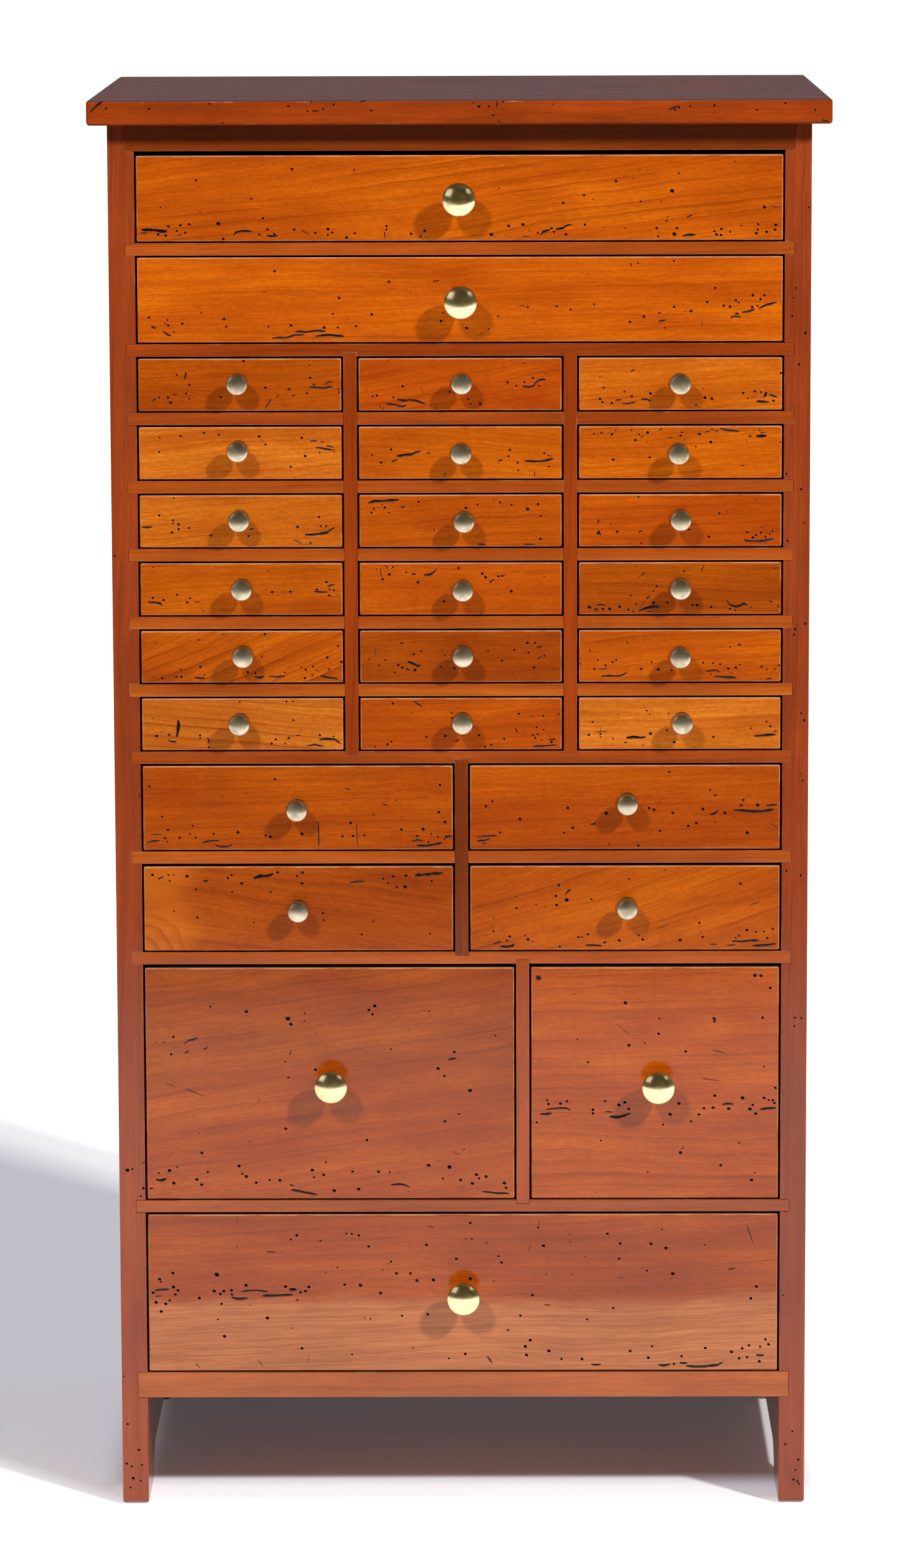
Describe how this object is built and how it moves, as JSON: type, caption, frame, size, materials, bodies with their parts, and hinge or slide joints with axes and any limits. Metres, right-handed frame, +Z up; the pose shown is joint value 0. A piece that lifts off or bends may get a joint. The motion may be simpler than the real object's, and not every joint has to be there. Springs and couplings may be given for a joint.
{
  "type": "watchmaker parts cabinet",
  "caption": "Tall narrow wooden cabinet on side-board feet, filled with rows of sliding drawers of several sizes, each with a turned brass knob.",
  "frame": {"origin": "on the floor under the middle of the cabinet's overall box, knobs included", "axes": "+Z up, +X to the right seen from the front, +Y from the drawers towards the back"},
  "size_m": [0.527, 0.394, 1.028],
  "materials": {
    "case_wood": "varnished, worn",
    "top_wood": "varnished, dusty",
    "drawer_wood": "varnished, worm-holed",
    "back_wood": "bare",
    "polished_brass": "polished",
    "aged_brass": "satin, aged"
  },
  "bodies": {
    "case": {"top_board": "top_wood", "left_side": "case_wood", "right_side": "case_wood", "back_panel": "back_wood", "shelves": "case_wood", "dividers": "case_wood"},
    "drawer_01": {"drawer_01": "drawer_wood", "knob_01": "polished_brass"},
    "drawer_02": {"drawer_02": "drawer_wood", "knob_02": "polished_brass"},
    "drawer_03_left": {"drawer_03_left": "drawer_wood", "knob_03_left": "aged_brass"},
    "drawer_03_middle": {"drawer_03_middle": "drawer_wood", "knob_03_middle": "aged_brass"},
    "drawer_03_right": {"drawer_03_right": "drawer_wood", "knob_03_right": "aged_brass"},
    "drawer_04_left": {"drawer_04_left": "drawer_wood", "knob_04_left": "aged_brass"},
    "drawer_04_middle": {"drawer_04_middle": "drawer_wood", "knob_04_middle": "aged_brass"},
    "drawer_04_right": {"drawer_04_right": "drawer_wood", "knob_04_right": "aged_brass"},
    "drawer_05_left": {"drawer_05_left": "drawer_wood", "knob_05_left": "aged_brass"},
    "drawer_05_middle": {"drawer_05_middle": "drawer_wood", "knob_05_middle": "aged_brass"},
    "drawer_05_right": {"drawer_05_right": "drawer_wood", "knob_05_right": "aged_brass"},
    "drawer_06_left": {"drawer_06_left": "drawer_wood", "knob_06_left": "aged_brass"},
    "drawer_06_middle": {"drawer_06_middle": "drawer_wood", "knob_06_middle": "aged_brass"},
    "drawer_06_right": {"drawer_06_right": "drawer_wood", "knob_06_right": "aged_brass"},
    "drawer_07_left": {"drawer_07_left": "drawer_wood", "knob_07_left": "aged_brass"},
    "drawer_07_middle": {"drawer_07_middle": "drawer_wood", "knob_07_middle": "aged_brass"},
    "drawer_07_right": {"drawer_07_right": "drawer_wood", "knob_07_right": "aged_brass"},
    "drawer_08_left": {"drawer_08_left": "drawer_wood", "knob_08_left": "aged_brass"},
    "drawer_08_middle": {"drawer_08_middle": "drawer_wood", "knob_08_middle": "aged_brass"},
    "drawer_08_right": {"drawer_08_right": "drawer_wood", "knob_08_right": "aged_brass"},
    "drawer_09_left": {"drawer_09_left": "drawer_wood", "knob_09_left": "aged_brass"},
    "drawer_09_right": {"drawer_09_right": "drawer_wood", "knob_09_right": "aged_brass"},
    "drawer_10_left": {"drawer_10_left": "drawer_wood", "knob_10_left": "aged_brass"},
    "drawer_10_right": {"drawer_10_right": "drawer_wood", "knob_10_right": "aged_brass"},
    "drawer_11_left": {"drawer_11_left": "drawer_wood", "knob_11_left": "polished_brass"},
    "drawer_11_right": {"drawer_11_right": "drawer_wood", "knob_11_right": "polished_brass"},
    "drawer_12": {"drawer_12": "drawer_wood", "knob_12": "polished_brass"}
  },
  "joints": [
    {"name": "drawer_01_slide", "type": "slide", "parent": "case", "child": "drawer_01", "axis": [0, -1, 0], "range_m": [0, 0.28]},
    {"name": "drawer_02_slide", "type": "slide", "parent": "case", "child": "drawer_02", "axis": [0, -1, 0], "range_m": [0, 0.28]},
    {"name": "drawer_03_left_slide", "type": "slide", "parent": "case", "child": "drawer_03_left", "axis": [0, -1, 0], "range_m": [0, 0.28]},
    {"name": "drawer_03_middle_slide", "type": "slide", "parent": "case", "child": "drawer_03_middle", "axis": [0, -1, 0], "range_m": [0, 0.28]},
    {"name": "drawer_03_right_slide", "type": "slide", "parent": "case", "child": "drawer_03_right", "axis": [0, -1, 0], "range_m": [0, 0.28]},
    {"name": "drawer_04_left_slide", "type": "slide", "parent": "case", "child": "drawer_04_left", "axis": [0, -1, 0], "range_m": [0, 0.28]},
    {"name": "drawer_04_middle_slide", "type": "slide", "parent": "case", "child": "drawer_04_middle", "axis": [0, -1, 0], "range_m": [0, 0.28]},
    {"name": "drawer_04_right_slide", "type": "slide", "parent": "case", "child": "drawer_04_right", "axis": [0, -1, 0], "range_m": [0, 0.28]},
    {"name": "drawer_05_left_slide", "type": "slide", "parent": "case", "child": "drawer_05_left", "axis": [0, -1, 0], "range_m": [0, 0.28]},
    {"name": "drawer_05_middle_slide", "type": "slide", "parent": "case", "child": "drawer_05_middle", "axis": [0, -1, 0], "range_m": [0, 0.28]},
    {"name": "drawer_05_right_slide", "type": "slide", "parent": "case", "child": "drawer_05_right", "axis": [0, -1, 0], "range_m": [0, 0.28]},
    {"name": "drawer_06_left_slide", "type": "slide", "parent": "case", "child": "drawer_06_left", "axis": [0, -1, 0], "range_m": [0, 0.28]},
    {"name": "drawer_06_middle_slide", "type": "slide", "parent": "case", "child": "drawer_06_middle", "axis": [0, -1, 0], "range_m": [0, 0.28]},
    {"name": "drawer_06_right_slide", "type": "slide", "parent": "case", "child": "drawer_06_right", "axis": [0, -1, 0], "range_m": [0, 0.28]},
    {"name": "drawer_07_left_slide", "type": "slide", "parent": "case", "child": "drawer_07_left", "axis": [0, -1, 0], "range_m": [0, 0.28]},
    {"name": "drawer_07_middle_slide", "type": "slide", "parent": "case", "child": "drawer_07_middle", "axis": [0, -1, 0], "range_m": [0, 0.28]},
    {"name": "drawer_07_right_slide", "type": "slide", "parent": "case", "child": "drawer_07_right", "axis": [0, -1, 0], "range_m": [0, 0.28]},
    {"name": "drawer_08_left_slide", "type": "slide", "parent": "case", "child": "drawer_08_left", "axis": [0, -1, 0], "range_m": [0, 0.28]},
    {"name": "drawer_08_middle_slide", "type": "slide", "parent": "case", "child": "drawer_08_middle", "axis": [0, -1, 0], "range_m": [0, 0.28]},
    {"name": "drawer_08_right_slide", "type": "slide", "parent": "case", "child": "drawer_08_right", "axis": [0, -1, 0], "range_m": [0, 0.28]},
    {"name": "drawer_09_left_slide", "type": "slide", "parent": "case", "child": "drawer_09_left", "axis": [0, -1, 0], "range_m": [0, 0.28]},
    {"name": "drawer_09_right_slide", "type": "slide", "parent": "case", "child": "drawer_09_right", "axis": [0, -1, 0], "range_m": [0, 0.28]},
    {"name": "drawer_10_left_slide", "type": "slide", "parent": "case", "child": "drawer_10_left", "axis": [0, -1, 0], "range_m": [0, 0.28]},
    {"name": "drawer_10_right_slide", "type": "slide", "parent": "case", "child": "drawer_10_right", "axis": [0, -1, 0], "range_m": [0, 0.28]},
    {"name": "drawer_11_left_slide", "type": "slide", "parent": "case", "child": "drawer_11_left", "axis": [0, -1, 0], "range_m": [0, 0.28]},
    {"name": "drawer_11_right_slide", "type": "slide", "parent": "case", "child": "drawer_11_right", "axis": [0, -1, 0], "range_m": [0, 0.28]},
    {"name": "drawer_12_slide", "type": "slide", "parent": "case", "child": "drawer_12", "axis": [0, -1, 0], "range_m": [0, 0.28]}
  ]
}
